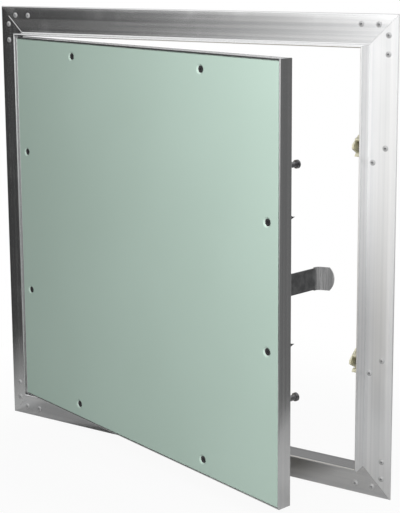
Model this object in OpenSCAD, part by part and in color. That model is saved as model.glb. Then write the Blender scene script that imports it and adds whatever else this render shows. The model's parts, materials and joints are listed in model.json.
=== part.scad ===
// Ceiling access panel: a mitred aluminium frame whose lip goes through the cut-out, and a hinged door
// with a plasterboard filling, held shut by two snap latches and guarded by a safety catch.
// X runs to the right, Y to the back and Z up. The origin is the middle of the frame, on the front
// face of its flange. The door is drawn part open, hinged at its left side.

/* [Frame] */
// Outer square of the lip, which goes through the cut-out
cutout = 400; // [340:1:600]
// Width of the flange outside the lip
flange_w = 28; // [26:0.5:36]
// Thickness of the flange
flange_t = 2; // [1.5:0.1:3]
// Thickness of the lip
lip_t = 2; // [1.5:0.1:3]
// Reach of the lip in front of the flange
lip_depth = 16; // [14:0.5:24]
// Reach of the lip behind the front face of the flange
lip_back = 4; // [3.2:0.1:8]
// Radius of the fillet between the lip and the front of the flange
root_r = 1; // [0.4:0.1:2]
// Gap left open along each mitre, in the frame and in the door
mitre_gap = 0.3; // [0.1:0.05:0.6]

/* [Corner plates] */
// Thickness of the joining plates behind each corner
plate_t = 1.5; // [1:0.1:3]
// Width of a plate's legs
plate_w = 20; // [18:0.5:22]
// Length of a plate's legs
plate_leg = 52; // [46:1:56]
// Distance from the frame's edge to its plates
plate_in = 3; // [1:0.5:4]
// Distance from the frame's edge to the row of rivets
rivet_in = 9.5; // [9:0.5:12]
// Distance from a corner to its first rivet
rivet_first = 19; // [18:0.5:22]
// Distance from a corner to its second rivet
rivet_second = 36; // [32:0.5:42]

/* [Rivets] */
// Diameter of a rivet's head
rivet_head_d = 5.6; // [5:0.1:6.5]
// Height of a rivet's head
rivet_head_h = 0.9; // [0.8:0.1:1.4]
// Diameter of a rivet's shank
rivet_d = 3.2; // [2.6:0.1:3.6]
// Length of the upset end behind the grip
rivet_tail_h = 2.2; // [1.5:0.1:3]
// Diameter of the hole that the mandrel leaves
mandrel_d = 2; // [1:0.1:2.2]

/* [Door] */
// Gap between the door and the lip, all round
door_gap = 1.5; // [1.3:0.1:2.5]
// Thickness of the plasterboard
board_t = 12.5; // [9.5:0.5:15]
// Gap between the board and the walls round it
board_gap = 0.3; // [0.2:0.1:1.2]
// Thickness of the rails' walls
wall_t = 1.8; // [1.4:0.1:2.4]
// Thickness of the ledge behind the board
ledge_t = 2; // [1.5:0.1:3]
// Width of the ledge behind the board
ledge_w = 25; // [24:0.5:34]
// How far the door stands open, in degrees
door_open = 17.2; // [0:0.1:100]

/* [Hinge] */
// Distance from the door's hinged side to the pivot
pivot_in = 4.2; // [3.9:0.1:8]
// Distance from the door's front to the pivot
pivot_back = 3.2; // [2.6:0.1:3.4]
// Diameter of the hinge pins
hinge_pin_d = 3; // [2:0.1:3.4]
// Diameter of the shoulder that spaces the door from the lip
hinge_shoulder_d = 5.6; // [4.5:0.1:6]

/* [Board screws] */
// Distance from the door's edge to its screws
screw_in = 15; // [13:0.5:18]
// Distance of the upper and lower screws from the middle
screw_x = 97; // [60:1:110]
// Distance of the screws on the hinged side from mid-height
screw_z_hinge = 75.5; // [40:0.5:90]
// Distance of the screws on the free side from mid-height
screw_z_free = 57; // [40:0.5:68]
// Length of a screw
screw_len = 33; // [24:1:45]
// Diameter of a screw's thread
screw_d = 3.5; // [3:0.1:4]
// Diameter of a screw's trumpet head
screw_head_d = 6.6; // [6:0.1:8]
// Height of the trumpet under the head
screw_head_h = 4; // [3:0.1:5]
// Depth of the head below the board's face
screw_sink = 0.9; // [0.5:0.1:1.5]
// Width of the dimple that the head leaves in the face
dimple_d = 9.6; // [8.6:0.1:12]

/* [Latches] */
// Height of the latches above and below the middle
latch_z = 104; // [95:0.5:120]
// Distance from the door's free edge to the strikers
striker_in = 10.9; // [10.5:0.1:13]
// Reach of a striker behind the door
striker_len = 19; // [17:0.5:24]
// Diameter of a striker's head
striker_head_d = 7.6; // [7:0.1:8]
// Length of a striker's head
striker_head_l = 3.5; // [2.5:0.1:4.5]
// Diameter of a striker's neck
striker_neck_d = 5; // [4.4:0.1:5.4]
// Diameter of a striker's foot
striker_foot_d = 10; // [8:0.5:11]
// Swing of each jaw from open to shut, in degrees
grip_open = 12; // [10:1:16]
// Distance of the jaws' pivots from the latch's middle
jaw_pivot = 3.6; // [3.4:0.1:4.4]
// Diameter of a jaw's knuckle
jaw_knuckle_d = 6.4; // [6:0.1:6.8]
// Thickness of a jaw's arm
jaw_arm_t = 2.2; // [1.8:0.1:3]
// Width of a jaw's arm
jaw_arm_w = 5.6; // [4.5:0.1:7]
// Thickness of a jaw's hook
jaw_hook_t = 2.2; // [1.6:0.1:3]
// Length of the sloped lead-in on a jaw
jaw_lead = 2.4; // [1.5:0.1:4]
// Width of the space between the housing's cheeks
latch_w = 9.8; // [9:0.1:11]
// Thickness of the housing's cheeks
cheek_t = 1.8; // [1.4:0.1:2.4]
// Height of the housing
housing_h = 19; // [18:0.5:24]
// Reach of the housing's nose in front of the jaws' pivots
nose_reach = 12; // [8:0.5:13]
// Height of the housing's nose at its front
nose_h = 4; // [3:0.5:8]
// Diameter of the jaws' pins
jaw_pin_d = 3; // [2.4:0.1:3.2]
// Thickness of the brackets that carry the latches
bracket_t = 1.5; // [1:0.1:2.5]
// Height of the brackets
bracket_h = 36; // [34:0.5:40]
// Height of the middle of a bracket's rivets above and below the middle of the frame
bracket_rivet_z = 100; // [98:0.5:106]
// Rise of a bracket's outer rivet, and fall of its inner one, from that middle
bracket_rivet_rise = 6.9; // [5:0.1:8]
// Distance from the frame's edge to a bracket's outer rivet
bracket_rivet_out = 11; // [9:0.5:12]

/* [Safety catch] */
// Height of the catch from the middle of the door
catch_z = -5; // [-20:0.5:20]
// Distance from the door's free edge to the catch's pivot
catch_in = 20.5; // [19.5:0.5:21.5]
// Height of the catch's strap
strap_h = 19.5; // [15:0.5:23]
// Thickness of the strap
strap_t = 1.5; // [1:0.1:2]
// Reach of the strap behind the door
strap_len = 62; // [45:0.5:66]
// Length of the flat tip beyond the bend
tip_len = 12.5; // [8:0.5:13.5]
// Height of the tip
tip_h = 21; // [17:0.5:24]
// Angle by which the tip is bent outwards, in degrees
tip_turn = 60; // [40:1:75]
// Radius of the bend between the strap and its tip
tip_bend = 5; // [3:0.5:7]
// Radius of the round at the end of the tip
tip_round = 15; // [13:0.5:20]
// Distance of the catch's pivot behind the door
catch_pivot = 5.5; // [5:0.1:8]
// Diameter of the knuckle round the pin
catch_knuckle_d = 6; // [5.4:0.1:7]
// Diameter of the catch's pin
catch_pin_d = 3; // [2.4:0.1:3.2]
// Thickness of the catch's bracket
clevis_t = 1.5; // [1:0.1:2]
// Distance from the catch's pivot to the rivets of its bracket
clevis_rivet = 10; // [9:0.5:11]

/* [Clearances] */
// Running clearance round a pin that turns, on the radius
running = 0.05; // [0.02:0.01:0.08]
// Side clearance between pieces that move past each other
side_gap = 0.3; // [0.2:0.05:0.5]
// Clearance round a rivet or screw in its hole, on the radius
hole_gap = 0.05; // [0.02:0.01:0.1]
// Clearance between a shut jaw and the striker's neck
jaw_gap = 0.5; // [0.4:0.1:0.8]
// Clearance between a bracket and the lip that it reaches round
bracket_gap = 0.5; // [0.3:0.1:1]

/* [Hidden] */
$fn = 48;
// Amount by which a cutting shape passes the faces that it cuts
past = 1;
half_open = cutout / 2 - lip_t;
frame_r = cutout / 2 + flange_w;
door_r = half_open - door_gap;
door_t = board_t + ledge_t;
door_front = -lip_depth;
door_back = door_front + door_t;
pivot_x = -door_r + pivot_in;
pivot_y = door_front + pivot_back;
shoulder_h = door_gap - side_gap;
board_r = door_r - wall_t - board_gap;
// Upset end of a rivet: the radii at its start, widest place and end, and the height of the widest place
tail_start_r = 0.64 * rivet_d;
tail_r = 0.8 * rivet_d;
tail_end_r = 0.6 * rivet_d;
tail_swell_h = 0.35 * rivet_tail_h;
// Depth of the hole in a rivet's head
mandrel_hole_h = 1.4 * rivet_head_h;
screw_places = [
    for (side = [-1, 1]) each [
        [side * screw_x, door_r - screw_in],
        [side * screw_x, -door_r + screw_in],
        [-door_r + screw_in, side * screw_z_hinge],
        [door_r - screw_in, side * screw_z_free]]];
// Door plates lie clear of the walls' outer faces by this much
door_plate_in = 2.5;
door_rivet_in = door_plate_in + plate_w / 2;
striker_x = door_r - striker_in;
striker_end = door_back + striker_len;
knuckle_r = jaw_knuckle_d / 2;
// Room between the end of a shut striker and the jaws' knuckles
head_room = 2.9;
latch_y = striker_end + head_room + knuckle_r;
hook_h = striker_neck_d / 2 + jaw_gap;
arm_h = striker_head_d / 2 + 2 * jaw_gap;
// Play between a striker's head and the back of the hooks
hook_play = 0.8;
// Distance from the pivots forward to the back of the hooks
hook_f = latch_y - striker_end + striker_head_l + hook_play;
jaw_len = hook_f + jaw_hook_t + jaw_lead;
// Reach of the housing behind the pivots, and where its nose starts to narrow
housing_back = 9;
nose_start = 2;
cheek_out = striker_x + latch_w / 2;
leg_x = cheek_out + cheek_t;
shelf_y = max(lip_back, flange_t + bracket_t) + bracket_gap;
riser_x = cutout / 2 + bracket_gap;
// The inner rivet's upset end stays clear of the riser
bracket_rivet_x = riser_x + bracket_t + side_gap + tail_r;
bracket_back = latch_y + housing_back;
spring_wire_d = 0.6;
spring_turns = 3;
spring_pitch = 0.65;
spring_room = spring_turns * spring_pitch + spring_wire_d;
// Places of the rivets that hold the housings to their brackets, from the pivots
housing_rivet_y = 5.6;
housing_rivet_z = 6;
catch_x = door_r - catch_in;
catch_y = door_back + catch_pivot;
strap_end = door_back + strap_len;
ear_z = strap_h / 2 + side_gap;
catch_spring_turns = 4;
catch_spring_wire_d = 0.8;
catch_spring_pitch = 0.96;
catch_spring_h = catch_spring_turns * catch_spring_pitch + catch_spring_wire_d;
catch_rivet_z = 6;
// Wall of the catch's bracket round the pin, and beside its rivets' heads
ear_wall = 1;
foot_edge = 0.5;
aluminium = [0.78, 0.79, 0.80];
zinc = [0.80, 0.79, 0.70];
steel = [0.46, 0.47, 0.49];

// Turns for the four sides, counted from the right
RIGHT = 0;
TOP = 90;
LEFT = 180;
BOTTOM = 270;

// Turns what is drawn for the right side round to another side
module side(turn) {
    rotate([0, -turn, 0]) children();
}

// Swings what is drawn on the shut door to where it stands open
module on_door() {
    translate([pivot_x, pivot_y, 0])
        rotate([0, 0, -door_open])
            translate([-pivot_x, -pivot_y, 0])
                children();
}

// Extrudes an outline drawn in Y and Z along X, from x0 to x1
module across(x0, x1) {
    translate([x0, 0, 0])
        rotate([90, 0, 90])
            linear_extrude(x1 - x0)
                children();
}

// Extrudes an outline drawn in X and Z along Y, from y0 to y1
module through(y0, y1) {
    translate([0, y1, 0])
        rotate([90, 0, 0])
            linear_extrude(y1 - y0)
                children();
}

// Turns a shape drawn along Z so that it runs to the back, along Y
module to_back() {
    rotate([-90, 0, 0]) children();
}

// A bar on the right side with its ends cut to the mitre; its section is given in X and Y
module mitred_bar(reach) {
    cut = mitre_gap / sqrt(2);
    far = reach + past;
    intersection() {
        linear_extrude(2 * reach, center = true) children();
        through(-far, far) polygon([[cut, 0], [far, far - cut], [far, cut - far]]);
    }
}

// A strip of sheet bent round an arc, from angle a0 to angle a1, with its middle line at radius r
module arc_strip(r, t, a0, a1) {
    far = 2 * (r + t);
    mid = (a0 + a1) / 2;
    intersection() {
        difference() {
            circle(r + t / 2);
            circle(r - t / 2);
        }
        polygon([[0, 0], far * [cos(a0), sin(a0)], far * [cos(mid), sin(mid)], far * [cos(a1), sin(a1)]]);
    }
}

// A close coil of wire along Z, wound from z = 0 at its middle line
module coil(r, wire_d, pitch, turns) {
    sides = 6;
    steps = 16;
    rings = steps * turns;
    points = [
        for (i = [0:rings], j = [0:sides - 1])
            let (a = 360 * i / steps, b = 360 * j / sides, reach = r + wire_d / 2 * cos(b))
                [reach * cos(a), reach * sin(a), pitch * i / steps + wire_d / 2 * sin(b)]];
    walls = [
        for (i = [0:rings - 1], j = [0:sides - 1])
            let (k = (j + 1) % sides)
                [i * sides + j, i * sides + k, (i + 1) * sides + k, (i + 1) * sides + j]];
    start = [for (j = [sides - 1:-1:0]) j];
    end = [for (j = [0:sides - 1]) rings * sides + j];
    polyhedron(points, concat([start], walls, [end]));
}

// A blind rivet along Y: its domed head stands in front of y = 0 and its upset end lies behind the grip
module blind_rivet(grip) {
    head_r = rivet_head_d / 2;
    dome_r = (head_r * head_r + rivet_head_h * rivet_head_h) / (2 * rivet_head_h);
    to_back() rotate_extrude() difference() {
        union() {
            intersection() {
                translate([0, dome_r - rivet_head_h]) circle(dome_r);
                translate([0, -rivet_head_h]) square([head_r, rivet_head_h]);
            }
            square([rivet_d / 2, grip]);
            translate([0, grip]) polygon([
                [0, 0], [tail_start_r, 0], [tail_r, tail_swell_h],
                [tail_end_r, rivet_tail_h], [0, rivet_tail_h]]);
        }
        translate([-past, -rivet_head_h - past]) square([mandrel_d / 2 + past, mandrel_hole_h + past]);
        translate([-2 * dome_r, -2 * dome_r]) square([2 * dome_r, 4 * dome_r + grip + rivet_tail_h]);
    }
}

// A hole along Y for a rivet's shank
module rivet_hole(y0, y1) {
    translate([0, y0 - past, 0]) to_back() cylinder(h = y1 - y0 + 2 * past, d = rivet_d + 2 * hole_gap);
}

// Places of the two rivets on the half of the right bar that meets its upper corner
module at_bar_rivets(reach, inset) {
    for (along = [rivet_first, rivet_second])
        translate([reach - inset, 0, reach - along]) children();
}

// Places of the four rivets of the upper right corner
module at_corner_rivets(reach, inset) {
    at_bar_rivets(reach, inset) children();
    side(TOP) mirror([0, 0, 1]) at_bar_rivets(reach, inset) children();
}

// Places of the two rivets of a latch bracket, given the bracket's side: 1 is the upper one
module at_bracket_rivets(level) {
    for (step = [1, -1]) {
        x = step > 0 ? frame_r - bracket_rivet_out : bracket_rivet_x;
        translate([x, 0, level * bracket_rivet_z + step * bracket_rivet_rise]) children();
    }
}

// The section of an edge that ends in a full round at x = 0, drawn to the left of it
module round_edge(length, t) {
    translate([-length, 0]) square([length - t / 2, t]);
    translate([-t / 2, t / 2]) circle(t / 2);
}

// The section of a fillet in the corner of two faces, which run along +X and +Y
module fillet(r) {
    difference() {
        square(r);
        translate([r, r]) circle(r);
    }
}

// One side of the frame: a flange with the lip standing on its inner edge, rounded at the free edges
module frame_bar(turn) {
    color(aluminium) side(turn) difference() {
        mitred_bar(frame_r) {
            translate([half_open, -lip_depth]) rotate(-90) round_edge(lip_depth + lip_back, lip_t);
            translate([frame_r, 0]) round_edge(frame_r - half_open, flange_t);
            translate([half_open + lip_t, 0]) mirror([0, 1]) fillet(root_r);
        }
        for (end = [0, 1])
            mirror([0, 0, end]) at_bar_rivets(frame_r, rivet_in) rivet_hole(0, flange_t);
    }
}

// A hole for a hinge pin through the lip above the door
module hinge_hole(z0, z1, d) {
    translate([pivot_x, pivot_y, z0 - past]) cylinder(h = z1 - z0 + 2 * past, d = d);
}

module frame_top() {
    difference() {
        frame_bar(TOP);
        hinge_hole(half_open, cutout / 2, hinge_pin_d);
    }
}

module frame_bottom() {
    difference() {
        frame_bar(BOTTOM);
        mirror([0, 0, 1]) hinge_hole(half_open, cutout / 2, hinge_pin_d);
    }
}

module frame_left() {
    frame_bar(LEFT);
}

module frame_right() {
    difference() {
        frame_bar(RIGHT);
        for (level = [-1, 1]) at_bracket_rivets(level) rivet_hole(0, flange_t);
    }
}

// An L-shaped plate behind the upper right corner of a frame that reaches to reach
module corner_plate(reach, inset, rivet_inset, y0) {
    far = reach - inset;
    end = far - plate_leg;
    inner = far - plate_w;
    difference() {
        through(y0, y0 + plate_t) polygon([
            [end, far], [far, far], [far, end], [inner, end], [inner, inner], [end, inner]]);
        at_corner_rivets(reach, rivet_inset) rivet_hole(y0, y0 + plate_t);
    }
}

module frame_plate(turn) {
    color(steel) side(turn) corner_plate(frame_r, plate_in, rivet_in, flange_t);
}

module corner_rivets() {
    color(aluminium) for (turn = [RIGHT, TOP, LEFT, BOTTOM])
        side(turn) at_corner_rivets(frame_r, rivet_in) blind_rivet(flange_t + plate_t);
}

module latch_rivets() {
    color(aluminium) for (level = [-1, 1])
        at_bracket_rivets(level) blind_rivet(flange_t + bracket_t);
}

// Moves what is drawn round a latch's middle, between its pivots, to the upper or the lower latch
module at_latch(level) {
    translate([striker_x, latch_y, level * latch_z]) children();
}

// Places of the rivets that join a housing to its bracket, seen along X
module at_housing_rivets() {
    for (end = [-1, 1]) translate([0, housing_rivet_y, end * housing_rivet_z]) children();
}

// A bent sheet: a foot on the flange, a step round the lip and a leg beside the housing
module latch_bracket(level) {
    color(zinc) difference() {
        translate([0, 0, level * latch_z]) {
            linear_extrude(bracket_h, center = true) {
                translate([riser_x, flange_t]) square([frame_r - plate_in - riser_x, bracket_t]);
                translate([riser_x, flange_t]) square([bracket_t, shelf_y + bracket_t - flange_t]);
                translate([leg_x, shelf_y]) square([riser_x + bracket_t - leg_x, bracket_t]);
            }
            linear_extrude(housing_h, center = true)
                translate([leg_x, shelf_y]) square([bracket_t, bracket_back - shelf_y]);
        }
        at_bracket_rivets(level) rivet_hole(flange_t, flange_t + bracket_t);
        at_latch(level) at_housing_rivets() rotate([0, 90, 0])
            cylinder(h = frame_r, d = rivet_d + 2 * hole_gap);
    }
}

// A channel with two nosed cheeks that hold the jaws' pins
module latch_housing(level) {
    rear = housing_h / 2;
    nose = nose_h / 2;
    color(zinc) at_latch(level) difference() {
        union() {
            for (x = [-latch_w / 2 - cheek_t, latch_w / 2])
                across(x, x + cheek_t) polygon([
                    [housing_back, -rear], [housing_back, rear], [nose_start, rear],
                    [-nose_reach, nose], [-nose_reach, -nose], [nose_start, -rear]]);
            across(-latch_w / 2, latch_w / 2)
                translate([housing_back - cheek_t, -rear]) square([cheek_t, housing_h]);
        }
        for (end = [-1, 1])
            translate([-latch_w, 0, end * jaw_pivot]) rotate([0, 90, 0])
                cylinder(h = 2 * latch_w, d = jaw_pin_d);
        at_housing_rivets() rotate([0, 90, 0]) cylinder(h = latch_w, d = rivet_d + 2 * hole_gap);
    }
}

// Short rivets with their heads on the brackets and flush ends inside the cheeks
module housing_rivets() {
    grip = cheek_t + bracket_t;
    head_d = 4.8;
    color(steel) for (level = [-1, 1])
        at_latch(level) at_housing_rivets() translate([latch_w / 2, 0, 0]) rotate([0, 90, 0]) {
            cylinder(h = grip, d = rivet_d);
            translate([0, 0, grip]) cylinder(h = rivet_head_h, d1 = head_d, d2 = rivet_d);
        }
}

// The jaws' pins, headed on the left and flush with the bracket on the right
module latch_pins(level) {
    head_h = 0.8;
    head_d = 4.8;
    color(steel) at_latch(level) for (end = [-1, 1])
        translate([-latch_w / 2 - cheek_t, 0, end * jaw_pivot]) rotate([0, 90, 0]) {
            cylinder(h = latch_w + 2 * cheek_t, d = jaw_pin_d);
            translate([0, 0, -head_h]) cylinder(h = head_h, d = head_d);
        }
}

// Return springs on the pins, between the left cheeks and the jaws' knuckles
module latch_springs(level) {
    spring_r = jaw_pin_d / 2 + hole_gap + spring_wire_d;
    color(steel) at_latch(level) for (end = [-1, 1])
        translate([-latch_w / 2 + side_gap / 2 + spring_wire_d / 2, 0, end * jaw_pivot]) rotate([0, 90, 0])
            coil(spring_r, spring_wire_d, spring_pitch, spring_turns);
}

// A jaw, drawn shut above the latch's middle and swung open round its pin
module latch_jaw(level, way) {
    half_w = latch_w / 2 - side_gap;
    spring_side = -latch_w / 2 + side_gap + spring_room;
    color(zinc) at_latch(level) mirror([0, 0, way > 0 ? 0 : 1])
        translate([0, 0, jaw_pivot]) rotate([-grip_open, 0, 0]) difference() {
            translate([0, 0, -jaw_pivot]) union() {
                across(-jaw_arm_w / 2, jaw_arm_w / 2) polygon([
                    [0, arm_h + jaw_arm_t], [-hook_f, arm_h + jaw_arm_t], [-jaw_len, arm_h + jaw_arm_t / 4],
                    [-jaw_len, arm_h - jaw_arm_t / 4], [-hook_f - jaw_hook_t, hook_h], [-hook_f, hook_h],
                    [-hook_f, arm_h], [0, arm_h]]);
                across(-half_w, half_w) translate([0, jaw_pivot]) circle(knuckle_r);
            }
            rotate([0, 90, 0]) cylinder(h = 2 * latch_w, d = jaw_pin_d + 2 * running, center = true);
            translate([-latch_w, 0, 0]) rotate([0, 90, 0])
                cylinder(h = latch_w + spring_side, r = knuckle_r + side_gap);
        }
}

// A stub pin that is fast in the lip and turns in the door, with a shoulder between them
module hinge_pin() {
    inner = door_r - wall_t;
    color(steel) translate([pivot_x, pivot_y, 0]) {
        translate([0, 0, inner]) cylinder(h = cutout / 2 - inner, d = hinge_pin_d);
        translate([0, 0, half_open - shoulder_h]) cylinder(h = shoulder_h, d = hinge_shoulder_d);
    }
}

module hinge_pin_top() {
    hinge_pin();
}

module hinge_pin_bottom() {
    mirror([0, 0, 1]) hinge_pin();
}

// One side of the door: a wall round the board, rounded in front, and a ledge behind it
module door_bar(turn) {
    color(aluminium) side(turn) difference() {
        mitred_bar(door_r) {
            translate([door_r - wall_t, door_front]) rotate(-90) round_edge(door_t, wall_t);
            translate([door_r - ledge_w, door_back - ledge_t]) square([ledge_w, ledge_t]);
        }
        for (end = [0, 1])
            mirror([0, 0, end]) at_bar_rivets(door_r, door_rivet_in)
                rivet_hole(door_back - ledge_t, door_back);
    }
}

// Holes in the ledge for the screws
module screw_holes() {
    for (place = screw_places)
        translate([place[0], door_front, place[1]]) to_back()
            cylinder(h = door_t + past, d = screw_d + 2 * hole_gap);
}

// Places of the catch's rivets on the free side
module at_catch_rivets() {
    for (end = [-1, 1]) translate([catch_x + clevis_rivet, 0, catch_z + end * catch_rivet_z]) children();
}

module door_rail_top() {
    on_door() difference() {
        door_bar(TOP);
        screw_holes();
        hinge_hole(door_r - wall_t, door_r, hinge_pin_d + 2 * running);
    }
}

module door_rail_bottom() {
    on_door() difference() {
        door_bar(BOTTOM);
        screw_holes();
        mirror([0, 0, 1]) hinge_hole(door_r - wall_t, door_r, hinge_pin_d + 2 * running);
    }
}

module door_rail_left() {
    on_door() difference() {
        door_bar(LEFT);
        screw_holes();
    }
}

module door_rail_right() {
    on_door() difference() {
        door_bar(RIGHT);
        screw_holes();
        at_catch_rivets() rivet_hole(door_back - ledge_t, door_back);
        for (level = [-1, 1])
            translate([striker_x, door_back - ledge_t - past, level * latch_z]) to_back()
                cylinder(h = ledge_t + 2 * past, d = striker_neck_d + 2 * hole_gap);
    }
}

module door_plate(turn) {
    color(steel) on_door() side(turn) corner_plate(door_r, door_plate_in, door_rivet_in, door_back);
}

// Flush in front, where the board lies, and domed behind the plates or the bracket
module ledge_rivet(thickness) {
    head_r = rivet_head_d / 2;
    dome_r = (head_r * head_r + rivet_head_h * rivet_head_h) / (2 * rivet_head_h);
    color(aluminium) translate([0, door_back - ledge_t, 0]) to_back() rotate_extrude() {
        square([rivet_d / 2, ledge_t + thickness]);
        translate([0, ledge_t + thickness]) intersection() {
            translate([0, rivet_head_h - dome_r]) circle(dome_r);
            square([head_r, rivet_head_h]);
        }
    }
}

module door_rivets() {
    on_door() for (turn = [RIGHT, TOP, LEFT, BOTTOM])
        side(turn) at_corner_rivets(door_r, door_rivet_in) ledge_rivet(plate_t);
}

// The board, with a dimple and a seat for each screw
module plasterboard() {
    seat_r = screw_head_d / 2 + hole_gap;
    hole_r = screw_d / 2 + hole_gap;
    color([0.69, 0.76, 0.73]) on_door() difference() {
        through(door_front, door_front + board_t) square(2 * board_r, center = true);
        for (place = screw_places)
            translate([place[0], door_front, place[1]]) to_back() rotate_extrude() polygon([
                [0, -past], [dimple_d / 2 + past, -past], [dimple_d / 2, 0], [seat_r, screw_sink],
                [hole_r, screw_sink + screw_head_h], [hole_r, board_t + past], [0, board_t + past]]);
    }
}

// A screw with a trumpet head, a cross recess and a sharp point
module board_screw() {
    head_r = screw_head_d / 2;
    shank_r = screw_d / 2;
    point_l = 6;
    point_r = 0.2;
    // Place on the trumpet where its curve is steepest
    flare_r = 0.72 * head_r;
    flare_h = 0.45 * screw_head_h;
    recess_l = 1.25 * head_r;
    recess_w = 0.9;
    recess_depth = 2;
    difference() {
        rotate_extrude() polygon([
            [0, 0], [head_r, 0], [flare_r, flare_h], [shank_r, screw_head_h],
            [shank_r, screw_len - point_l], [point_r, screw_len], [0, screw_len]]);
        for (turn = [45, 135])
            rotate([0, 0, turn]) translate([-recess_l / 2, -recess_w / 2, -past])
                cube([recess_l, recess_w, recess_depth + past]);
    }
}

module board_screws() {
    color([0.12, 0.12, 0.12]) on_door() for (place = screw_places)
        translate([place[0], door_front + screw_sink, place[1]]) to_back() board_screw();
}

// A turned stud: a shank riveted in the ledge, a foot, a waisted neck and a headed end
module striker(level) {
    neck_r = striker_neck_d / 2;
    head_r = striker_head_d / 2;
    foot_r = striker_foot_d / 2;
    foot_h = 1.5;
    flare = 3;
    bevel = 0.8;
    neck_end = striker_len - striker_head_l;
    color(steel) on_door() translate([striker_x, door_back, level * latch_z]) to_back()
        rotate_extrude() polygon([
            [0, -ledge_t], [neck_r, -ledge_t], [neck_r, 0], [foot_r, 0], [foot_r, foot_h],
            [neck_r + flare / 2, foot_h], [neck_r, foot_h + flare], [neck_r, neck_end],
            [head_r, neck_end + bevel / 2], [head_r, striker_len - bevel],
            [head_r - bevel, striker_len], [0, striker_len]]);
}

// Moves what is drawn round the catch's pivot to the door
module at_catch() {
    on_door() translate([catch_x, catch_y, catch_z]) children();
}

// A clevis: a foot on the ledge and two ears that hold the pin
module catch_bracket() {
    foot_out = clevis_rivet + rivet_head_d / 2 + foot_edge;
    ear_r = catch_knuckle_d / 2 + ear_wall;
    color(zinc) difference() {
        at_catch() {
            translate([-ear_r, -catch_pivot, -ear_z - clevis_t])
                cube([ear_r + foot_out, clevis_t, 2 * (ear_z + clevis_t)]);
            for (z = [-ear_z - clevis_t, ear_z]) translate([0, 0, z]) linear_extrude(clevis_t) {
                circle(ear_r);
                translate([-ear_r, -catch_pivot]) square([2 * ear_r, catch_pivot]);
            }
        }
        at_catch() cylinder(h = 4 * ear_z, d = catch_pin_d, center = true);
        on_door() at_catch_rivets() rivet_hole(door_back, door_back + clevis_t);
    }
}

module catch_rivets() {
    on_door() at_catch_rivets() ledge_rivet(clevis_t);
}

// A headed pin through the clevis, upset at its lower end
module catch_pin() {
    head_h = 1;
    head_d = 5.1;
    upset_d = 4.2;
    reach = ear_z + clevis_t;
    color(steel) at_catch() {
        translate([0, 0, -reach - head_h]) cylinder(h = 2 * reach + head_h, d = catch_pin_d);
        translate([0, 0, reach]) cylinder(h = head_h, d = head_d);
        translate([0, 0, -reach - head_h]) cylinder(h = head_h, d = upset_d);
    }
}

// The spring that holds the catch, wound on the pin above the knuckle
module catch_spring() {
    spring_r = catch_pin_d / 2 + hole_gap * 2 + catch_spring_wire_d / 2;
    color(steel) at_catch()
        translate([0, 0, ear_z - catch_spring_h + catch_spring_wire_d / 2 - side_gap])
            coil(spring_r, catch_spring_wire_d, catch_spring_pitch, catch_spring_turns);
}

// The bent sheet of the catch seen from above, with a straight stretch before its bend at bend_y
module catch_sheet(straight, bend_y) {
    // The tip starts a little inside the bend and is thinner by this much on each face
    lap = 0.3;
    seam = 0.04;
    translate([-strap_t / 2, bend_y - straight]) square([strap_t, straight]);
    translate([tip_bend, bend_y]) {
        arc_strip(tip_bend, strap_t, 180 - tip_turn, 180);
        rotate(-tip_turn) translate([-tip_bend - strap_t / 2 + seam, -lap])
            square([strap_t - 2 * seam, tip_len + lap]);
    }
}

// The catch: a knuckle on the pin and a flat strap whose tip is bent outwards and ends in a shallow round
module catch_lever() {
    knuckle = catch_knuckle_d / 2;
    bend_y = strap_end - catch_y - tip_bend * sin(tip_turn) - tip_len * cos(tip_turn);
    // Straight stretch that is as tall as the tip
    tip_start = 2;
    spring_space = catch_spring_h + 2 * side_gap;
    color(steel) at_catch() difference() {
        union() {
            intersection() {
                union() {
                    linear_extrude(strap_h, center = true) catch_sheet(bend_y, bend_y);
                    linear_extrude(tip_h, center = true) catch_sheet(tip_start, bend_y);
                }
                translate([tip_bend, bend_y, 0]) rotate([0, 0, 90 - tip_turn])
                    through(-strap_len, strap_len) {
                        translate([-strap_len, -tip_h]) square([strap_len + tip_len - tip_round, 2 * tip_h]);
                        translate([tip_len - tip_round, 0]) circle(tip_round);
                    }
            }
            cylinder(h = strap_h, r = knuckle, center = true);
        }
        cylinder(h = 2 * strap_h, d = catch_pin_d + 2 * running, center = true);
        translate([0, 0, strap_h / 2 - spring_space]) cylinder(h = strap_h, r = knuckle + side_gap);
    }
}

frame_top();
frame_bottom();
frame_left();
frame_right();
frame_plate(TOP);  // frame_plate_top_left
frame_plate(RIGHT);  // frame_plate_top_right
frame_plate(LEFT);  // frame_plate_bottom_left
frame_plate(BOTTOM);  // frame_plate_bottom_right
corner_rivets();
latch_rivets();
latch_bracket(1);  // upper_latch_bracket
latch_bracket(-1);  // lower_latch_bracket
latch_housing(1);  // upper_latch_housing
latch_housing(-1);  // lower_latch_housing
housing_rivets();
latch_pins(1);  // upper_latch_pins
latch_pins(-1);  // lower_latch_pins
latch_springs(1);  // upper_latch_springs
latch_springs(-1);  // lower_latch_springs
latch_jaw(1, 1);  // upper_latch_top_jaw
latch_jaw(1, -1);  // upper_latch_bottom_jaw
latch_jaw(-1, 1);  // lower_latch_top_jaw
latch_jaw(-1, -1);  // lower_latch_bottom_jaw
hinge_pin_top();
hinge_pin_bottom();
door_rail_top();
door_rail_bottom();
door_rail_left();
door_rail_right();
door_plate(TOP);  // door_plate_top_left
door_plate(RIGHT);  // door_plate_top_right
door_plate(LEFT);  // door_plate_bottom_left
door_plate(BOTTOM);  // door_plate_bottom_right
door_rivets();
plasterboard();
board_screws();
striker(1);  // upper_striker
striker(-1);  // lower_striker
catch_bracket();
catch_rivets();
catch_pin();
catch_spring();
catch_lever();
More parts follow.
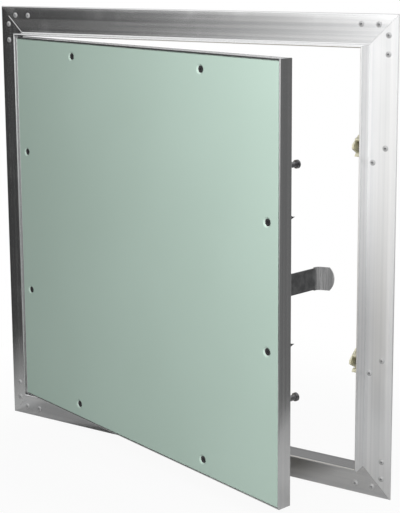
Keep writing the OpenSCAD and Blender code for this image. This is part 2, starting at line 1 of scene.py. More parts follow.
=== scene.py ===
"""Dresses the access panel: finishes, bars, rivet mandrels, threaded screws, stage, light and camera."""
import json
from math import atan2, cos, pi, radians, sin, sqrt, tan, tau

import bmesh
import bpy
from mathutils import Euler, Matrix, Vector


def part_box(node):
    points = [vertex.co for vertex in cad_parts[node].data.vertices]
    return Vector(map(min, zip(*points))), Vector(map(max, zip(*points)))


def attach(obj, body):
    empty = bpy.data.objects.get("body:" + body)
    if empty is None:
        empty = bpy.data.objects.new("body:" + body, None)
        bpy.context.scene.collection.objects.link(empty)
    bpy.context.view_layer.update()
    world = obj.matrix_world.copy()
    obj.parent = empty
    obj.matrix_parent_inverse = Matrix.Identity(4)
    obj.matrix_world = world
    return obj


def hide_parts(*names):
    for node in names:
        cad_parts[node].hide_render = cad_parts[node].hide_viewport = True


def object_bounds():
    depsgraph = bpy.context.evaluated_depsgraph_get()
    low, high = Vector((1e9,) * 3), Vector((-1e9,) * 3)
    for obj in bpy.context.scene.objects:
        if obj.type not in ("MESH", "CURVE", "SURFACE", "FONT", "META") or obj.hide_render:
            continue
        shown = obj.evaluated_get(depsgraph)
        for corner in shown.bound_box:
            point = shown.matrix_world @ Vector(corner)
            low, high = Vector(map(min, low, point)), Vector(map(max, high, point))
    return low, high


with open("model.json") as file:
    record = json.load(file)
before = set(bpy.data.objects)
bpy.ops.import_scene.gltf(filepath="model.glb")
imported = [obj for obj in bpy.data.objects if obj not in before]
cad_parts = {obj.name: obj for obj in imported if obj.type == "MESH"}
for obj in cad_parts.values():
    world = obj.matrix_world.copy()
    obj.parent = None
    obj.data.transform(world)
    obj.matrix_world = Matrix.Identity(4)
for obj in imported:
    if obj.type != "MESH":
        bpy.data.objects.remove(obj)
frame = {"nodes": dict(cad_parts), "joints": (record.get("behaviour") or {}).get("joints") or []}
CAD_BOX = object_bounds()
NODES = frame["nodes"]
JOINTS = {joint["name"]: joint for joint in frame["joints"]}

# Units and axes
MM = 0.001
X, Y, Z = 0, 1, 2

# The door: its hinge, how far it stands open, and the turns between its open and shut places
HINGE = Vector(JOINTS["door_swing"]["pos_m"])
DOOR_OPEN = radians(-JOINTS["door_swing"]["range_deg"][0])
TO_OPEN = Matrix.Translation(HINGE) @ Matrix.Rotation(-DOOR_OPEN, 4, "Z") @ Matrix.Translation(-HINGE)
TO_SHUT = TO_OPEN.inverted()
CATCH_PIN = Vector(JOINTS["catch_swing"]["pos_m"])

# Camera: place, turns, lens and the rise of the view, fitted to the photograph's 400 by 513 frame
CAMERA_AT = (0.6468, -1.0239, 0.2819)
CAMERA_TURN = (80.757, 0.398, 31.379)
CAMERA_LENS = 86.344
CAMERA_SHIFT = -0.2
SENSOR = 36


def shut_box(name):
    """Lowest and highest corner of a door's node, with the door shut."""
    points = [TO_SHUT @ v.co for v in NODES[name].data.vertices]
    corners = ([pick(p[axis] for p in points) for axis in (X, Y, Z)] for pick in (min, max))
    return tuple(Vector(corner) for corner in corners)


# Node trees

# Spans of a noise's values: nearly all, most, the middle ones and the upper ones
WIDE = (0.25, 0.75)
MOST = (0.3, 0.7)
CORE = (0.35, 0.65)
UPPER = (0.5, 0.8)


def add(tree, kind, values=None, **settings):
    """Adds a node, with its settings and its inputs, which are values or other nodes' sockets."""
    made = tree.nodes.new(kind)
    for key, value in settings.items():
        setattr(made, key, value)
    for key, value in (values or {}).items():
        if isinstance(value, bpy.types.NodeSocket):
            tree.links.new(value, made.inputs[key])
        else:
            made.inputs[key].default_value = value
    return made


def math(tree, operation, a, b=0.0):
    return add(tree, "ShaderNodeMath", {0: a, 1: b}, operation=operation).outputs[0]


def span(tree, value, low, high, to_low=0.0, to_high=1.0):
    """Carries a value from one span to another, clamped, with a smooth start and end."""
    inputs = {"Value": value, "From Min": low, "From Max": high, "To Min": to_low, "To Max": to_high}
    return add(tree, "ShaderNodeMapRange", inputs, interpolation_type="SMOOTHSTEP").outputs["Result"]


def mix(tree, factor, a, b):
    made = add(tree, "ShaderNodeMix", {0: factor, 6: a, 7: b}, data_type="RGBA")
    return made.outputs[2]


def colour(value):
    """A colour from three numbers or one grey."""
    return (*value, 1.0) if isinstance(value, tuple) else (value, value, value, 1.0)


def two_tone(tree, value, limits, pair):
    """The two tones of a finish, spread over a span of a noise."""
    low, high = pair
    return mix(tree, span(tree, value, *limits), colour(low), colour(high))


def place_of(tree, on_door=False):
    """The point on the piece, with the door's pieces turned back to where they lie when it is shut."""
    point = add(tree, "ShaderNodeTexCoord").outputs["Object"]
    if not on_door:
        return point
    inputs = {"Vector": point, "Rotation": (0, 0, DOOR_OPEN), "Location": TO_SHUT.to_translation()}
    return add(tree, "ShaderNodeMapping", inputs).outputs["Vector"]


def noise(tree, point, grain, detail=2.0, roughness=0.5):
    """Noise whose grain is given in metres, one size or one for each axis."""
    sizes = grain if isinstance(grain, tuple) else (grain, grain, grain)
    scaled = add(tree, "ShaderNodeMapping", {"Vector": point, "Scale": tuple(1 / s for s in sizes)})
    inputs = {"Vector": scaled.outputs["Vector"], "Scale": 1.0, "Detail": detail, "Roughness": roughness}
    return add(tree, "ShaderNodeTexNoise", inputs).outputs["Fac"]


def bump(tree, height, depth):
    """A bump whose height runs from 0 to 1 over a depth in metres."""
    inputs = {"Height": height, "Distance": depth, "Strength": 1.0}
    return add(tree, "ShaderNodeBump", inputs).outputs["Normal"]


def new_material(name):
    made = bpy.data.materials.new(name)
    made.use_nodes = True
    made.node_tree.nodes.clear()
    return made, made.node_tree


def shade(tree, base, roughness, normal, **fixed):
    """Ends a tree with a shader; fixed holds its other inputs, by name."""
    values = {"Base Color": base, "Roughness": roughness, "Normal": normal}
    values.update({key.replace("_", " "): value for key, value in fixed.items()})
    shader = add(tree, "ShaderNodeBsdfPrincipled", values)
    add(tree, "ShaderNodeOutputMaterial", {"Surface": shader.outputs["BSDF"]})


def drawn(along, width, length):
    """Grain sizes for lines that run along one axis."""
    return tuple(length if axis == along else width for axis in (X, Y, Z))


# Materials

# Darker and paler tone of each finish, and single tones for marks on it
MILL = ((0.80, 0.805, 0.81), (0.89, 0.89, 0.89))
DIE_LINE = (0.72, 0.725, 0.73)
SCUFF = (0.93, 0.93, 0.93)
ZINC = ((0.57, 0.58, 0.59), (0.74, 0.75, 0.76))
PASSIVATED = ((0.68, 0.66, 0.50), (0.80, 0.78, 0.62))
BLACKENED = ((0.07, 0.07, 0.075), (0.14, 0.14, 0.145))
BOLT = ((0.22, 0.22, 0.23), (0.36, 0.36, 0.37))
WIRE = ((0.48, 0.48, 0.48), (0.66, 0.66, 0.66))
STRAP = ((0.36, 0.365, 0.37), (0.52, 0.525, 0.53))
# Painted highlight: near-white tones for the catch's tip, in place of the light that its bent end catches
TIP_HIGHLIGHT = ((0.88, 0.885, 0.89), (0.98, 0.98, 0.98))
RIVET = ((0.48, 0.485, 0.49), (0.58, 0.58, 0.58))
PHOSPHATE = ((0.03, 0.03, 0.032), (0.08, 0.08, 0.082))
GREEN = ((0.405, 0.520, 0.455), (0.425, 0.543, 0.478))
GREEN_FIBRE = (0.54, 0.63, 0.585)
GREEN_FLECK = (0.30, 0.40, 0.35)
GYPSUM = ((0.66, 0.68, 0.66), (0.78, 0.79, 0.77))
BUFF = ((0.50, 0.46, 0.39), (0.58, 0.54, 0.47))
# Share of the dull tone that a pit in plated steel keeps
PIT_SHADE = 0.6
# Heights between which the bloom on a bar changes, and the roughness that a full bloom adds
BLOOM_SPAN = (-0.07, 0.11)
BLOOM_ROUGHNESS = 0.8
# Distances from the catch's far end at which the painted highlight on its tip begins and is bright all over
TIP_HIGHLIGHT_SPAN = (13.5 * MM, 11 * MM)
# Depths behind the board's front over which green gives way to gypsum, and before its back to buff
FRONT_PAPER = (0.7 * MM, 1.1 * MM)
BACK_PAPER = (0.3 * MM, 0.05 * MM)


def extruded_aluminium(name, along, on_door=False, bloom=None):
    """Mill-finish extrusion: fine die lines along the bar, wider dull bands, scuffs and handling marks.

    A pale oxide bloom scatters light instead of mirroring it; its share is given low down and high up.
    """
    made, tree = new_material(name)
    point = place_of(tree, on_door)
    lines = noise(tree, point, drawn(along, width=0.45 * MM, length=90 * MM))
    bands = noise(tree, point, drawn(along, width=3.2 * MM, length=420 * MM), detail=1.0)
    scuffs = noise(tree, point, drawn(along, width=0.9 * MM, length=14 * MM), detail=3.0)
    marks = noise(tree, point, 26 * MM, detail=4.0, roughness=0.6)
    base = two_tone(tree, bands, MOST, MILL)
    base = mix(tree, span(tree, lines, *WIDE, to_high=0.15), base, colour(DIE_LINE))
    base = mix(tree, span(tree, scuffs, 0.70, 0.80, to_high=0.1), base, colour(SCUFF))
    roughness = span(tree, bands, *MOST, to_low=0.16, to_high=0.20)
    roughness = math(tree, "ADD", roughness, span(tree, marks, *UPPER, to_high=0.06))
    metallic = 1.0
    if bloom:
        height = add(tree, "ShaderNodeSeparateXYZ", {0: point}).outputs["Z"]
        share = span(tree, height, *BLOOM_SPAN, *bloom)
        roughness = math(tree, "ADD", roughness, math(tree, "MULTIPLY", share, BLOOM_ROUGHNESS))
        metallic = math(tree, "SUBTRACT", 1.0, share)
    shade(tree, base, roughness, bump(tree, lines, 0.0045 * MM), Metallic=metallic)
    return made


def plated_steel(name, pair, grain, roughness=(0.25, 0.4), metallic=1.0):
    """Plated sheet: two tones in patches, fine pits and finger marks."""
    made, tree = new_material(name)
    point = place_of(tree)
    patches = noise(tree, point, grain, detail=3.0, roughness=0.6)
    pits = noise(tree, point, 0.7 * MM)
    marks = noise(tree, point, 9 * MM, detail=3.0)
    pitted = tuple(PIT_SHADE * c for c in pair[0])
    base = two_tone(tree, patches, CORE, pair)
    base = mix(tree, span(tree, pits, 0.62, 0.78, to_high=0.2), base, colour(pitted))
    rough = span(tree, patches, *MOST, *roughness)
    rough = math(tree, "ADD", rough, span(tree, marks, *UPPER, to_high=0.14))
    shade(tree, base, rough, bump(tree, pits, 0.02 * MM), Metallic=metallic)
    return made


def strip_with_painted_tip(name, pin, reach):
    """The catch's strip: dull along its strap, streaked at its tip and painted near-white there as a
    highlight.
    """
    made, tree = new_material(name)
    point = place_of(tree)
    far = add(tree, "ShaderNodeVectorMath", {0: point, 1: pin}, operation="DISTANCE").outputs["Value"]
    streaks = noise(tree, point, drawn(Z, width=1.2 * MM, length=25 * MM), detail=3.0)
    marks = noise(tree, point, 5 * MM, detail=3.0)
    dull = two_tone(tree, marks, CORE, STRAP)
    tip_highlight = two_tone(tree, streaks, CORE, TIP_HIGHLIGHT)
    # Painted highlight: towards its far end the strip turns near-white
    base = mix(tree, span(tree, far, *(reach - d for d in TIP_HIGHLIGHT_SPAN)), dull, tip_highlight)
    roughness = span(tree, streaks, *MOST, to_low=0.10, to_high=0.2)
    shade(tree, base, roughness, bump(tree, streaks, 0.03 * MM), Metallic=1.0)
    return made


def rivet_aluminium(name):
    """Satin rivets with a fine grain."""
    made, tree = new_material(name)
    grain = noise(tree, place_of(tree), 0.5 * MM, detail=3.0)
    base = two_tone(tree, grain, MOST, RIVET)
    roughness = span(tree, grain, *MOST, to_low=0.5, to_high=0.62)
    shade(tree, base, roughness, bump(tree, grain, 0.008 * MM), Metallic=0.6)
    return made


def board_paper(name, front, back):
    """Plasterboard: pale green paper in front, bare gypsum at the cuts and dimples, buff paper behind."""
    made, tree = new_material(name)
    point = place_of(tree, on_door=True)
    depth = add(tree, "ShaderNodeSeparateXYZ", {0: point}).outputs["Y"]
    fibres = noise(tree, point, drawn(Z, width=0.5 * MM, length=4 * MM), detail=4.0, roughness=0.65)
    cross_fibres = noise(tree, point, (3 * MM, 0.5 * MM, 0.6 * MM), detail=4.0, roughness=0.65)
    clouds = noise(tree, point, 190 * MM)
    flecks = noise(tree, point, 1.1 * MM)
    green = two_tone(tree, clouds, MOST, GREEN)
    green = mix(tree, span(tree, fibres, *MOST, to_high=0.10), green, colour(GREEN_FIBRE))
    green = mix(tree, span(tree, flecks, 0.68, 0.78, to_high=0.12), green, colour(GREEN_FLECK))
    gypsum = two_tone(tree, cross_fibres, CORE, GYPSUM)
    buff = two_tone(tree, clouds, MOST, BUFF)
    base = mix(tree, span(tree, depth, *(front + d for d in FRONT_PAPER)), green, gypsum)
    base = mix(tree, span(tree, depth, *(back - d for d in BACK_PAPER)), base, buff)
    height = math(tree, "MULTIPLY", math(tree, "ADD", fibres, cross_fibres), 0.5)
    roughness = span(tree, fibres, *MOST, to_low=0.62, to_high=0.8)
    shade(tree, base, roughness, bump(tree, height, 0.05 * MM), Specular_IOR_Level=0.3)
    return made


def black_phosphate(name):
    """Matt black screws with a fine, greyer grain."""
    made, tree = new_material(name)
    grain = noise(tree, place_of(tree), 0.4 * MM, detail=3.0)
    base = two_tone(tree, grain, (0.35, 0.7), PHOSPHATE)
    roughness = span(tree, grain, *MOST, to_low=0.42, to_high=0.6)
    shade(tree, base, roughness, bump(tree, grain, 0.02 * MM), Metallic=0.4)
    return made


def dress(name, material):
    """Gives a CAD node its material."""
    piece = NODES[name]
    piece.data.materials.clear()
    piece.data.materials.append(material)


# Meshes

# Angle between two faces from which their edge stays sharp
SHARP = radians(35)


def bridge(mesh, a, b):
    """Joins two rings of points by a band of faces."""
    for i in range(len(a)):
        j = (i + 1) % len(a)
        mesh.faces.new((a[i], a[j], b[j], b[i]))


def ring(mesh, radius, y, sides, centre=Vector()):
    """A ring of points round a line along Y."""
    turns = (tau * i / sides for i in range(sides))
    return [mesh.verts.new(centre + Vector((radius * cos(a), y, radius * sin(a)))) for a in turns]


def new_piece(name, mesh, material, body, place=Matrix()):
    """Turns a mesh into a piece that rides on a body, smooth except at its edges."""
    bmesh.ops.recalc_face_normals(mesh, faces=mesh.faces)
    data = bpy.data.meshes.new(name)
    mesh.to_mesh(data)
    mesh.free()
    data.transform(place)
    data.materials.append(material)
    data.polygons.foreach_set("use_smooth", [True] * len(data.polygons))
    data.set_sharp_from_angle(angle=SHARP)
    piece = bpy.data.objects.new(name, data)
    bpy.context.scene.collection.objects.link(piece)
    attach(piece, body)
    return piece


def rounded(corners, steps=6):
    """An outline in X and Y from corners with a radius each, which is 0 where the corner stays sharp."""
    outline = []
    for i, (x, y, r) in enumerate(corners):
        corner = Vector((x, y))
        if not r:
            outline.append(corner)
            continue
        before = (Vector(corners[i - 1][:2]) - corner).normalized()
        after = (Vector(corners[(i + 1) % len(corners)][:2]) - corner).normalized()
        half = before.angle(after) / 2
        centre = corner + (before + after).normalized() * r / sin(half)
        start = corner + before * r / tan(half) - centre
        end = corner + after * r / tan(half) - centre
        first = atan2(start.y, start.x)
        swing = (atan2(end.y, end.x) - first + pi) % tau - pi
        for step in range(steps + 1):
            a = first + swing * step / steps
            outline.append(centre + r * Vector((cos(a), sin(a))))
    return outline


# Finishes of the CAD pieces

CORNERS = ("top_left", "top_right", "bottom_left", "bottom_right")
LEVELS = ("upper", "lower")
SATIN = (0.3, 0.45)

zinc = plated_steel("zinc_plate", ZINC, grain=5 * MM)
for corner in CORNERS:
    dress(f"frame_plate_{corner}", zinc)
    dress(f"door_plate_{corner}", zinc)

rivet = rivet_aluminium("rivet_aluminium")
for group in ("corner", "latch", "door", "catch", "housing"):
    dress(f"{group}_rivets", rivet)

passivated = plated_steel("passivated_zinc", PASSIVATED, grain=4 * MM, metallic=0.45)
blackened = plated_steel("blackened_steel", BLACKENED, grain=3 * MM, roughness=SATIN)
bolt = plated_steel("striker_steel", BOLT, grain=3 * MM, roughness=SATIN)
wire = plated_steel("spring_wire", WIRE, grain=1.5 * MM, roughness=(0.2, 0.3))
for level in LEVELS:
    dress(f"{level}_latch_bracket", passivated)
    dress(f"{level}_latch_housing", passivated)
    dress(f"{level}_latch_top_jaw", passivated)
    dress(f"{level}_latch_bottom_jaw", passivated)
    dress(f"{level}_latch_pins", blackened)
    dress(f"{level}_latch_springs", wire)
    dress(f"{level}_striker", bolt)
for pin in ("hinge_pin_top", "hinge_pin_bottom", "catch_pin"):
    dress(pin, blackened)
lever_reach = max((v.co - CATCH_PIN).length for v in NODES["catch_lever"].data.vertices)
dress("catch_bracket", zinc)
dress("catch_spring", wire)
dress("catch_lever", strip_with_painted_tip("catch_strip", CATCH_PIN, lever_reach))
board_low, board_high = shut_box("plasterboard")
dress("plasterboard", board_paper("green_board", board_low.y, board_high.y))


# Bars

# Turn of each side, counted from the right
TURNS = {"right": 0, "top": 90, "left": 180, "bottom": 270}
# Shares of bloom, low down and high up, on the bar that has some
BLOOM = {"right": (0.16, 0.44)}
MITRE_GAP = 0.12 * MM
FLANGE_T = 2.0 * MM
LIP_T = 2.0 * MM
WALL_T = 1.8 * MM
LEDGE_T = 2.0 * MM
# Radii of the bars' broken edges and of the fillet in front of the flange; other edges are fully round
EDGE_R = 0.4 * MM
ROOT_R = 1.0 * MM
# Share of half a thickness that a full round takes, so that its two arcs stay apart
ROUND_SHARE = 0.98
# Break of the left bar's upper cut, and the share of the flange over which it fades
CUT_BREAK = 0.9 * MM
BREAK_SHARE = 0.65
# What counts as no distance
SLIGHT = 0.001 * MM
# The hinge pins' radius, the room that lets the door turn on them, and the sides of their holes
HINGE_PIN_R = 1.5 * MM
RUNNING_GAP = 0.05 * MM
HOLE_SIDES = 32


def frame_section():
    """The frame's section on the right side: a lip with a flange."""
    low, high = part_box("frame_right")
    root = low.x + LIP_T
    lip_r = ROUND_SHARE * LIP_T / 2
    flange_r = ROUND_SHARE * FLANGE_T / 2
    break_end = root + BREAK_SHARE * (high.x - root)
    return rounded((
        (low.x, low.y, lip_r), (root, low.y, lip_r),
        (root, 0, ROOT_R), (break_end, 0, 0), (high.x, 0, flange_r),
        (high.x, FLANGE_T, flange_r), (root, FLANGE_T, 0),
        (root, high.y, EDGE_R), (low.x, high.y, EDGE_R)))


def door_section():
    """The door's section on the right side: a wall round the board with a ledge behind it."""
    low, high = shut_box("door_rail_right")
    wall = high.x - WALL_T
    seat = high.y - LEDGE_T
    wall_r = ROUND_SHARE * WALL_T / 2
    return rounded((
        (wall, low.y, wall_r), (high.x, low.y, wall_r), (high.x, high.y, EDGE_R), (low.x, high.y, EDGE_R),
        (low.x, seat, EDGE_R), (wall, seat, 0)))


def mitred_bar(outline, broken=0.0):
    """A bar on the right side along Z, with both ends cut to the mitre.

    The front edge of the lower cut may be broken, most at the root of the flange.
    """
    cut = MITRE_GAP / sqrt(2)
    mesh = bmesh.new()
    low, high = ([mesh.verts.new((p.x, p.y, end * (p.x - cut))) for p in outline] for end in (-1, 1))
    bridge(mesh, low, high)
    mesh.faces.new(list(reversed(high)))
    if broken:
        root = next(i for i, p in enumerate(outline) if abs(p.y) < SLIGHT)
        tip = [mesh.verts.new(v.co) for v in low]
        tip[root].co.y += broken
        for v in low:
            v.co.z += broken
        bridge(mesh, tip, low)
        low = tip
    mesh.faces.new(low)
    return mesh


def drill(piece, node, clearance):
    """Drills a bar for the hinge pin of a CAD node, which stands along Z."""
    low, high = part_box(node)
    middle = (low + high) / 2
    cutter_mesh = bmesh.new()
    radius = HINGE_PIN_R + clearance
    depth = 2 * (high.z - low.z)
    bmesh.ops.create_cone(
        cutter_mesh, cap_ends=True, segments=HOLE_SIDES, radius1=radius, radius2=radius, depth=depth)
    data = bpy.data.meshes.new("cutter")
    cutter_mesh.to_mesh(data)
    cutter_mesh.free()
    cutter = bpy.data.objects.new("cutter", data)
    cutter.location = middle
    bpy.context.scene.collection.objects.link(cutter)
    hole = piece.modifiers.new("hole", "BOOLEAN")
    hole.object = cutter
    hole.solver = "EXACT"
    drilled = bpy.data.meshes.new_from_object(piece.evaluated_get(bpy.context.evaluated_depsgraph_get()))
    piece.modifiers.clear()
    piece.data = drilled
    bpy.data.objects.remove(cutter)


sections = {"frame": frame_section(), "door_rail": door_section()}
for side, turn in TURNS.items():
    along = Z if side in ("left", "right") else X
    place = Matrix.Rotation(radians(-turn), 4, "Y")
    frame_metal = extruded_aluminium(f"frame_aluminium_{side}", along, bloom=BLOOM.get(side))
    door_metal = extruded_aluminium(f"door_aluminium_{side}", along, on_door=True)
    bar_mesh = mitred_bar(sections["frame"], CUT_BREAK if side == "left" else 0.0)
    bar = new_piece(f"frame_bar_{side}", bar_mesh, frame_metal, "frame", place)
    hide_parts(f"frame_{side}")
    rail_mesh = mitred_bar(sections["door_rail"])
    rail = new_piece(f"door_bar_{side}", rail_mesh, door_metal, "door", TO_OPEN @ place)
    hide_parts(f"door_rail_{side}")
    if along == X:
        drill(bar, f"hinge_pin_{side}", 0.0)
        drill(rail, f"hinge_pin_{side}", RUNNING_GAP)


# Broken mandrels in the rivets' heads

STUB_SIDES = 12
# Share of the hole's width that a stub fills, how far its end lies below the head, and its length
STUB_SHARE = 0.94
STUB_SINK = 0.3 * MM
STUB_LENGTH = 0.8 * MM
# Its torn end: height of the bevel, depth of the hollow, and shares of its width at the rim and the floor
STUB_BEVEL = 0.1 * MM
STUB_HOLLOW = 0.2 * MM
STUB_RIM_SHARE = 0.8
STUB_HOLLOW_SHARE = 0.3
# Least distance between two rivets' holes, and how far points may lie from the plane of a ring
RIVETS_APART = 3 * MM
RING_TOL = 0.01 * MM


def front_rings(points, apart):
    """Middle and radius of each ring of points on the foremost plane, told apart by a distance."""
    front = min(p.y for p in points)
    groups = []
    for p in (q for q in points if q.y < front + RING_TOL):
        group = next((g for g in groups if (g[0] - p).length < apart), None)
        if group:
            group.append(p)
        else:
            groups.append([p])
    rings = []
    for group in groups:
        low, high = (Vector([pick(p[axis] for p in group) for axis in (X, Y, Z)]) for pick in (min, max))
        rings.append(((low + high) / 2, (high.x - low.x) / 2))
    return rings


def add_stub(mesh, centre, radius):
    """The end of a mandrel that broke off in its rivet: a short round with a torn, hollow end."""
    stations = (
        (1.0, STUB_SINK + STUB_LENGTH),
        (1.0, STUB_SINK + STUB_BEVEL),
        (STUB_RIM_SHARE, STUB_SINK),
        (STUB_HOLLOW_SHARE, STUB_SINK + STUB_HOLLOW))
    rings = [ring(mesh, share * radius, y, STUB_SIDES, centre) for share, y in stations]
    for a, b in zip(rings, rings[1:]):
        bridge(mesh, a, b)
    mesh.faces.new(rings[0])
    mesh.faces.new(rings[-1])


stubs = bmesh.new()
for group in ("corner_rivets", "latch_rivets"):
    for centre, radius in front_rings([v.co for v in NODES[group].data.vertices], RIVETS_APART):
        add_stub(stubs, centre, STUB_SHARE * radius)
new_piece("rivet_mandrels", stubs, bolt, "frame")


# Threaded screws

SCREW_SIDES = 24
SCREWS_APART = 12 * MM
# Degrees by which each screw stops further round than the one before it
SCREW_STOP = 37
# Head: height, bevel round its top, and steps and power of its trumpet
HEAD_H = 4.0 * MM
HEAD_BEVEL_H = 0.12 * MM
HEAD_BEVEL_W = 0.15 * MM
TRUMPET_STEPS = 6
TRUMPET_POWER = 1.9
# Point: height and radius of its blunt end
POINT_H = 6.0 * MM
POINT_R = 0.12 * MM
# Cross recess: its depth, and at mouth and floor its share of the head's radius and half a slot's width
RECESS_DEPTH = 2.0 * MM
MOUTH_SHARE = 0.62
MOUTH_HALF = 0.42 * MM
FLOOR_SHARE = 0.3
FLOOR_HALF = 0.25 * MM
# Thread: sections in a turn, pitch, core, height, half its width, and how deep its foot lies in the core
THREAD_STEPS = 20
THREAD_PITCH = 1.7 * MM
THREAD_ROOT_R = 1.25 * MM
THREAD_H = 0.5 * MM
THREAD_HALF_W = 0.42 * MM
THREAD_SINK = 0.06 * MM
# How far the thread reaches into the head and ends short of the point, its least core there, and how much
# later than the core its crest tapers
THREAD_LEAD = 0.6 * MM
THREAD_SHORT = 0.4 * MM
THREAD_LEAST_R = 0.1 * MM
CREST_DELAY = 1.6


def cross(mesh, reach, half, y):
    """The outline of a cross recess."""
    corners = []
    for turn in range(4):
        a = turn * pi / 2
        for x, z in ((reach, -half), (reach, half), (half, half)):
            corners.append((x * cos(a) - z * sin(a), x * sin(a) + z * cos(a)))
    return [mesh.verts.new((x, y, z)) for x, z in corners]


def screw_mesh(head_r, length):
    """A board screw along +Y: trumpet head with a cross recess, threaded shank and sharp point."""
    mesh = bmesh.new()
    rim = ring(mesh, head_r, HEAD_BEVEL_H, SCREW_SIDES)
    top = ring(mesh, head_r - HEAD_BEVEL_W, 0, SCREW_SIDES)
    bridge(mesh, top, rim)
    last = rim
    for i in range(1, TRUMPET_STEPS + 1):
        t = i / TRUMPET_STEPS
        radius = THREAD_ROOT_R + (head_r - THREAD_ROOT_R) * (1 - t) ** TRUMPET_POWER
        section = ring(mesh, radius, HEAD_BEVEL_H + (HEAD_H - HEAD_BEVEL_H) * t, SCREW_SIDES)
        bridge(mesh, last, section)
        last = section
    for radius, y in ((THREAD_ROOT_R, length - POINT_H), (POINT_R, length)):
        section = ring(mesh, radius, y, SCREW_SIDES)
        bridge(mesh, last, section)
        last = section
    mesh.faces.new(last)
    mouth = cross(mesh, MOUTH_SHARE * head_r, MOUTH_HALF, 0)
    floor = cross(mesh, FLOOR_SHARE * head_r, FLOOR_HALF, RECESS_DEPTH)
    bridge(mesh, floor, mouth)
    mesh.faces.new(floor)
    rims = []
    for outline in (top, mouth):
        for i in range(len(outline)):
            j = (i + 1) % len(outline)
            rims.append(mesh.edges.get((outline[i], outline[j])))
    bmesh.ops.triangle_fill(mesh, use_beauty=True, edges=rims)
    add_thread(mesh, HEAD_H - THREAD_LEAD, length - THREAD_SHORT, length - POINT_H)
    bmesh.ops.recalc_face_normals(mesh, faces=mesh.faces)
    data = bpy.data.meshes.new("board_screw")
    mesh.to_mesh(data)
    mesh.free()
    return data


def add_thread(mesh, start, end, taper_from):
    """A sharp ridge wound round the shank, fading in under the head and out at the point."""
    turns = (end - start) / THREAD_PITCH
    count = int(turns * THREAD_STEPS)
    last = None
    for i in range(count + 1):
        y = start + (end - start) * i / count
        a = tau * turns * i / count
        taper = 1.0 if y < taper_from else max(0.0, (end - y) / (end - taper_from))
        fade = min(1.0, i / THREAD_STEPS)
        core = max(THREAD_LEAST_R, THREAD_ROOT_R * taper)
        foot = core - THREAD_SINK
        crest = core + THREAD_H * fade * min(1.0, taper * CREST_DELAY)
        section = [
            mesh.verts.new((r * cos(a), y + dy, r * sin(a)))
            for r, dy in ((foot, -THREAD_HALF_W), (crest, 0), (foot, THREAD_HALF_W))]
        if last:
            bridge(mesh, last, section)
        else:
            mesh.faces.new(section)
        last = section
    mesh.faces.new(list(reversed(last)))


black = black_phosphate("black_phosphate")
screw_points = [TO_SHUT @ v.co for v in NODES["board_screws"].data.vertices]
heads = sorted(front_rings(screw_points, SCREWS_APART), key=lambda head: (head[0].x, head[0].z))
head_r = heads[0][1]
screw_length = max(p.y for p in screw_points) - heads[0][0].y
screw_data = screw_mesh(head_r, screw_length)
screw_data.materials.append(black)
for number, (centre, _) in enumerate(heads, 1):
    screw = bpy.data.objects.new(f"board_screw_{number}", screw_data)
    bpy.context.scene.collection.objects.link(screw)
    stop = Matrix.Rotation(radians(SCREW_STOP * number), 4, "Y")
    screw.matrix_world = TO_OPEN @ Matrix.Translation(centre) @ stop
    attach(screw, "door")
    if number == 1:
        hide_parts("board_screws")


# Stage

# Floor: radius, sides, height, its shadow's strength, and the share of the radius where that starts to fade
FLOOR_R = 0.44
FLOOR_SIDES = 96
FLOOR_Z = CAD_BOX[0].z - 0.5 * MM
SHADOW = 0.06
SHADOW_CORE = 0.3
# Grey of the floor for what it lights, a darker one to the left, and the places in X between the two
PAPER = 0.38
PAPER_LEFT = 0.12
PAPER_FADE = (-0.42, -0.22)
# Brightness of the studio: the fill, and the panels and flags that the metal mirrors
FILL = 0.15
PANEL = 1.02
FLAG = 0.044
SIDE_FLAG = 0.14
BACK_PANEL = 0.53
LEFT_PANEL = 0.26
TOP_PANEL = 0.88
# Where each begins and is full: degrees to the right of straight in front, or of rise for the top panel
PANEL_AT = (-39, -12)
SIDE_FLAG_AT = (86, 108)
BACK_RIGHT_AT = (128, 144)
LEFT_PANEL_AT = (-104, -126)
BACK_LEFT_AT = (-160, -176)
TOP_PANEL_AT = (35, 60)
# The front panel: its gain at the left, at its brightest and at the right, and where it grows and falls
PANEL_GAINS = (1.0, 2.0, 0.7)
PANEL_GROWS = (-26, -14)
PANEL_FALLS = (-12, 0)
# Rises between which its gain grows, that gain, and the lean of its left edge for each degree above a rise
PANEL_RISE = (-16, -2)
RISE_GAINS = (0.25, 1.25)
LEAN = 1.2
LEAN_FROM = 4.0
# Lamps: the place and the width of each, the power of both, and the place at which both point
LAMPS = {"key": ((0.55, -0.85, 0.5), 0.35), "back": ((-0.45, 1.0, 0.2), 0.5)}
LAMP_POWER = 14.6
LAMP_AIM = (0.0, -0.05, 0.0)


def floor_material():
    """Pale floor: white to the camera apart from a soft shadow that fades out, grey to what it lights."""
    made, tree = new_material("floor_pale")
    point = place_of(tree)
    reach = add(tree, "ShaderNodeVectorMath", {0: point}, operation="LENGTH").outputs["Value"]
    shadow = span(tree, reach, SHADOW_CORE * FLOOR_R, FLOOR_R, SHADOW, 0.0)
    camera = add(tree, "ShaderNodeLightPath").outputs["Is Camera Ray"]
    share = math(tree, "SUBTRACT", 1.0, math(tree, "MULTIPLY", camera, math(tree, "SUBTRACT", 1.0, shadow)))
    white = add(tree, "ShaderNodeEmission", {"Color": colour(1.0), "Strength": 1.0}).outputs[0]
    side = add(tree, "ShaderNodeSeparateXYZ", {0: point}).outputs["X"]
    grey = two_tone(tree, side, PAPER_FADE, (PAPER_LEFT, PAPER))
    paper = add(tree, "ShaderNodeBsdfDiffuse", {"Color": grey}).outputs[0]
    both = add(tree, "ShaderNodeMixShader", {0: share, 1: white, 2: paper}).outputs[0]
    add(tree, "ShaderNodeOutputMaterial", {"Surface": both})
    return made


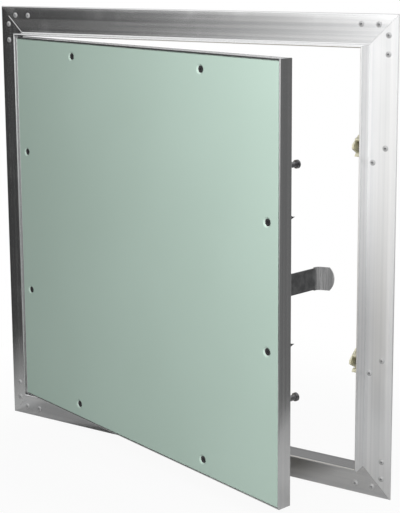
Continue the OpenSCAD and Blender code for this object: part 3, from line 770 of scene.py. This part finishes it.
def add_floor():
    mesh = bmesh.new()
    bmesh.ops.create_circle(mesh, cap_ends=True, segments=FLOOR_SIDES, radius=FLOOR_R)
    data = bpy.data.meshes.new("floor")
    mesh.to_mesh(data)
    mesh.free()
    data.materials.append(floor_material())
    floor = bpy.data.objects.new("floor", data)
    floor.location = (0, 0, FLOOR_Z)
    bpy.context.scene.collection.objects.link(floor)


def front_panel(tree, bearing, rise):
    """Brightness of the panel in front, which is brightest a little to the left and dimmer low down."""
    left, peak, right = PANEL_GAINS
    grows = span(tree, bearing, *PANEL_GROWS, left, peak)
    falls = span(tree, bearing, *PANEL_FALLS, 0.0, peak - right)
    gain = math(tree, "MULTIPLY", math(tree, "SUBTRACT", grows, falls), PANEL)
    return math(tree, "MULTIPLY", gain, span(tree, rise, *PANEL_RISE, *RISE_GAINS))


def studio_world():
    """White to the camera, panels and flags round the part for its reflections, a fill for the rest."""
    world = bpy.data.worlds.new("studio")
    bpy.context.scene.world = world
    world.use_nodes = True
    tree = world.node_tree
    tree.nodes.clear()
    direction = add(tree, "ShaderNodeTexCoord").outputs["Generated"]
    along = add(tree, "ShaderNodeSeparateXYZ", {0: direction}).outputs
    # Degrees to the right of straight in front, and above the horizon
    ahead = math(tree, "MULTIPLY", along["Y"], -1.0)
    bearing = math(tree, "DEGREES", math(tree, "ARCTAN2", along["X"], ahead))
    rise = math(tree, "DEGREES", math(tree, "ARCSINE", along["Z"]))
    above = math(tree, "MAXIMUM", math(tree, "SUBTRACT", rise, LEAN_FROM), 0.0)
    edge = math(tree, "ADD", bearing, math(tree, "MULTIPLY", above, LEAN))
    level = mix(tree, span(tree, edge, *PANEL_AT), colour(FLAG), front_panel(tree, bearing, rise))
    for angle, limits, brightness in (
            (bearing, SIDE_FLAG_AT, SIDE_FLAG),
            (bearing, BACK_RIGHT_AT, BACK_PANEL),
            (bearing, LEFT_PANEL_AT, LEFT_PANEL),
            (bearing, BACK_LEFT_AT, BACK_PANEL),
            (rise, TOP_PANEL_AT, TOP_PANEL)):
        level = mix(tree, span(tree, angle, *limits), level, colour(brightness))
    rays = add(tree, "ShaderNodeLightPath").outputs
    level = mix(tree, rays["Is Glossy Ray"], colour(FILL), level)
    level = mix(tree, rays["Is Camera Ray"], level, colour(1.0))
    room = add(tree, "ShaderNodeBackground", {"Color": level, "Strength": 1.0}).outputs[0]
    add(tree, "ShaderNodeOutputWorld", {"Surface": room})


def add_lamp(name, at, size):
    """A square lamp that lights the part and isn't mirrored by it."""
    data = bpy.data.lights.new(name, "AREA")
    data.shape = "SQUARE"
    data.size = size
    data.energy = LAMP_POWER
    lamp = bpy.data.objects.new(name, data)
    lamp.location = at
    lamp.visible_glossy = False
    lamp.rotation_euler = (Vector(LAMP_AIM) - Vector(at)).to_track_quat("-Z", "Y").to_euler()
    bpy.context.scene.collection.objects.link(lamp)


def add_camera():
    data = bpy.data.cameras.new("camera")
    data.sensor_width = SENSOR
    data.lens = CAMERA_LENS
    data.shift_y = CAMERA_SHIFT
    camera = bpy.data.objects.new("camera", data)
    camera.location = CAMERA_AT
    camera.rotation_euler = Euler([radians(a) for a in CAMERA_TURN])
    bpy.context.scene.collection.objects.link(camera)
    bpy.context.scene.camera = camera


add_floor()
studio_world()
for name, (at, size) in LAMPS.items():
    add_lamp(name, at, size)
add_camera()
bpy.context.scene.view_settings.view_transform = "Standard"

bpy.context.view_layer.update()
